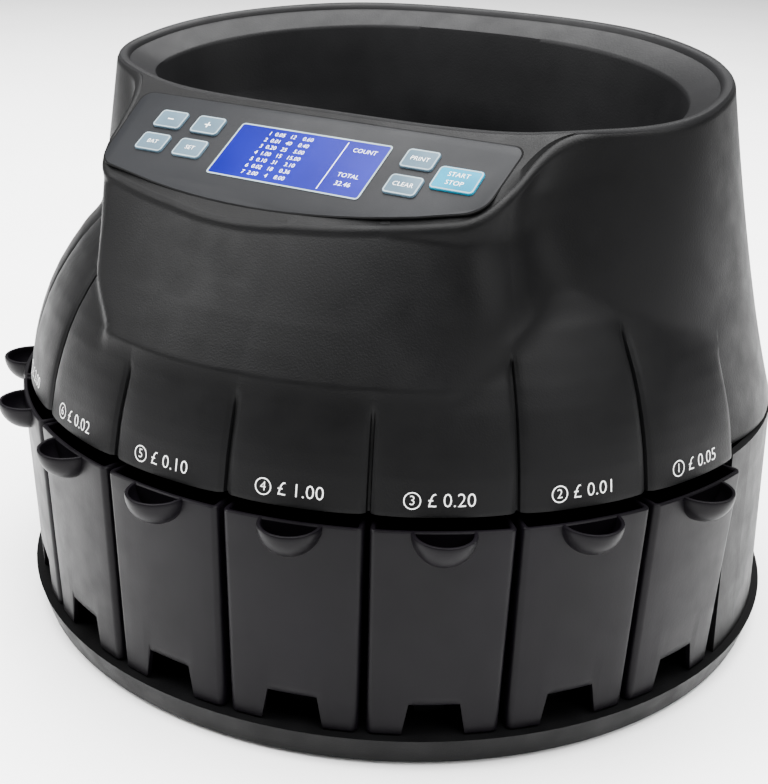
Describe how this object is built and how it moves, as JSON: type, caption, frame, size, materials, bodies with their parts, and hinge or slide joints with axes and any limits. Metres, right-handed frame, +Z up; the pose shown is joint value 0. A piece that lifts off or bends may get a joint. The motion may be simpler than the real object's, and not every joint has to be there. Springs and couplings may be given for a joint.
{
  "type": "coin sorting machine",
  "caption": "Coin sorter: a hopper feeds a turning pocketed disc that drops coins by size into pull-out cups around a round base; sloping keypad and display in front.",
  "frame": {"origin": "centre of the machine's footprint on the surface it stands on, at the underside of the feet", "axes": "+Z up, -Y towards the user (control panel and middle cup), +X to the user's right"},
  "size_m": [0.3648, 0.3306, 0.2611],
  "materials": {
    "tray_black": "matt moulded plastic",
    "rubber": "matt rubber",
    "screw_steel": "dark zinc plate",
    "inner_black": "plain moulded plastic",
    "cup_black": "fine satin moulded plastic",
    "guide_steel": "rolled steel",
    "disc_grey": "hard grey plastic, worn by coins",
    "shaft_steel": "ground steel",
    "bearing_bronze": "sintered bronze",
    "gear_white": "natural acetal",
    "motor_steel": "plated steel can",
    "board_green": "solder mask",
    "housing_black": "fine textured moulded plastic",
    "bowl_black": "smooth moulded plastic",
    "overlay_grey": "printed satin film",
    "display_glass": "clear window over a lit blue display",
    "key_grey": "satin plastic",
    "key_cyan": "satin plastic",
    "socket_black": "smooth plastic"
  },
  "bodies": {
    "chassis": {"base_tray": "tray_black", "rubber_feet": "rubber", "foot_screws": "screw_steel", "core_wall": "inner_black", "sort_deck": "inner_black", "deck_pillars": "inner_black", "guide_ring": "guide_steel", "upper_bearing": "bearing_bronze", "lower_bearing": "bearing_bronze", "gear_motor": "motor_steel", "drive_bracket": "guide_steel", "bracket_spacers": "shaft_steel", "sensor_board": "board_green", "rear_cover": "housing_black", "cover_screws": "screw_steel", "upper_housing": "housing_black", "housing_screws": "screw_steel", "hopper_bowl": "bowl_black", "panel_overlay": "overlay_grey", "display_window": "display_glass", "display_module": "board_green", "key_board": "board_green", "power_supply": "board_green", "supply_posts": "gear_white", "main_board": "board_green", "board_standoffs": "gear_white", "power_inlet": "socket_black", "switch_housing": "socket_black", "data_port": "socket_black"},
    "coin_cup_1": {"coin_cup_1": "cup_black"},
    "coin_cup_2": {"coin_cup_2": "cup_black"},
    "coin_cup_3": {"coin_cup_3": "cup_black"},
    "coin_cup_4": {"coin_cup_4": "cup_black"},
    "coin_cup_5": {"coin_cup_5": "cup_black"},
    "coin_cup_6": {"coin_cup_6": "cup_black"},
    "coin_cup_7": {"coin_cup_7": "cup_black"},
    "coin_cup_8": {"coin_cup_8": "cup_black"},
    "coin_cup_9": {"coin_cup_9": "cup_black"},
    "key_minus": {"key_minus": "key_grey"},
    "key_plus": {"key_plus": "key_grey"},
    "key_batch": {"key_batch": "key_grey"},
    "key_set": {"key_set": "key_grey"},
    "key_print": {"key_print": "key_grey"},
    "key_clear": {"key_clear": "key_grey"},
    "key_start_stop": {"key_start_stop": "key_cyan"},
    "carrier": {"carrier_disc": "disc_grey", "drive_shaft": "shaft_steel", "disc_nut": "shaft_steel", "drive_gear": "gear_white"},
    "pinion": {"motor_pinion": "shaft_steel", "motor_axle": "shaft_steel"},
    "rocker": {"switch_rocker": "socket_black"}
  },
  "joints": [
    {"name": "coin_cup_1_slide", "type": "slide", "parent": "chassis", "child": "coin_cup_1", "axis": [0.9542, -0.299, 0], "range_m": [0, 0.075]},
    {"name": "coin_cup_2_slide", "type": "slide", "parent": "chassis", "child": "coin_cup_2", "axis": [0.8136, -0.5814, 0], "range_m": [0, 0.075]},
    {"name": "coin_cup_3_slide", "type": "slide", "parent": "chassis", "child": "coin_cup_3", "axis": [0.592, -0.8059, 0], "range_m": [0, 0.075]},
    {"name": "coin_cup_4_slide", "type": "slide", "parent": "chassis", "child": "coin_cup_4", "axis": [0.3115, -0.9502, 0], "range_m": [0, 0.075]},
    {"name": "coin_cup_5_slide", "type": "slide", "parent": "chassis", "child": "coin_cup_5", "axis": [0, -1, 0], "range_m": [0, 0.075]},
    {"name": "coin_cup_6_slide", "type": "slide", "parent": "chassis", "child": "coin_cup_6", "axis": [-0.3115, -0.9502, 0], "range_m": [0, 0.075]},
    {"name": "coin_cup_7_slide", "type": "slide", "parent": "chassis", "child": "coin_cup_7", "axis": [-0.592, -0.8059, 0], "range_m": [0, 0.075]},
    {"name": "coin_cup_8_slide", "type": "slide", "parent": "chassis", "child": "coin_cup_8", "axis": [-0.8136, -0.5814, 0], "range_m": [0, 0.075]},
    {"name": "coin_cup_9_slide", "type": "slide", "parent": "chassis", "child": "coin_cup_9", "axis": [-0.9542, -0.299, 0], "range_m": [0, 0.075]},
    {"name": "key_minus_press", "type": "slide", "parent": "chassis", "child": "key_minus", "axis": [0, 0.5402, -0.8415], "range_m": [0, 0.0008], "stiffness_N_per_m": 400, "springref_m": -0.001},
    {"name": "key_plus_press", "type": "slide", "parent": "chassis", "child": "key_plus", "axis": [0, 0.5402, -0.8415], "range_m": [0, 0.0008], "stiffness_N_per_m": 400, "springref_m": -0.001},
    {"name": "key_batch_press", "type": "slide", "parent": "chassis", "child": "key_batch", "axis": [0, 0.5402, -0.8415], "range_m": [0, 0.0008], "stiffness_N_per_m": 400, "springref_m": -0.001},
    {"name": "key_set_press", "type": "slide", "parent": "chassis", "child": "key_set", "axis": [0, 0.5402, -0.8415], "range_m": [0, 0.0008], "stiffness_N_per_m": 400, "springref_m": -0.001},
    {"name": "key_print_press", "type": "slide", "parent": "chassis", "child": "key_print", "axis": [0, 0.5402, -0.8415], "range_m": [0, 0.0008], "stiffness_N_per_m": 400, "springref_m": -0.001},
    {"name": "key_clear_press", "type": "slide", "parent": "chassis", "child": "key_clear", "axis": [0, 0.5402, -0.8415], "range_m": [0, 0.0008], "stiffness_N_per_m": 400, "springref_m": -0.001},
    {"name": "key_start_stop_press", "type": "slide", "parent": "chassis", "child": "key_start_stop", "axis": [0, 0.5402, -0.8415], "range_m": [0, 0.0008], "stiffness_N_per_m": 400, "springref_m": -0.001},
    {"name": "carrier_spin", "type": "hinge", "parent": "chassis", "child": "carrier", "pos_m": [0, 0.02525, 0.116], "axis": [0, 0, 1], "continuous": true},
    {"name": "pinion_spin", "type": "hinge", "parent": "chassis", "child": "pinion", "pos_m": [-0.03825, 0.0635, 0.095], "axis": [0, 0, 1], "continuous": true},
    {"name": "rocker_tilt", "type": "hinge", "parent": "chassis", "child": "rocker", "pos_m": [-0.02, 0.15925, 0.046], "axis": [0, 0, 1], "range_deg": [0, 14]}
  ],
  "couplings": [
    {"joint": "pinion_spin", "follows": "carrier_spin", "ratio": -5}
  ]
}
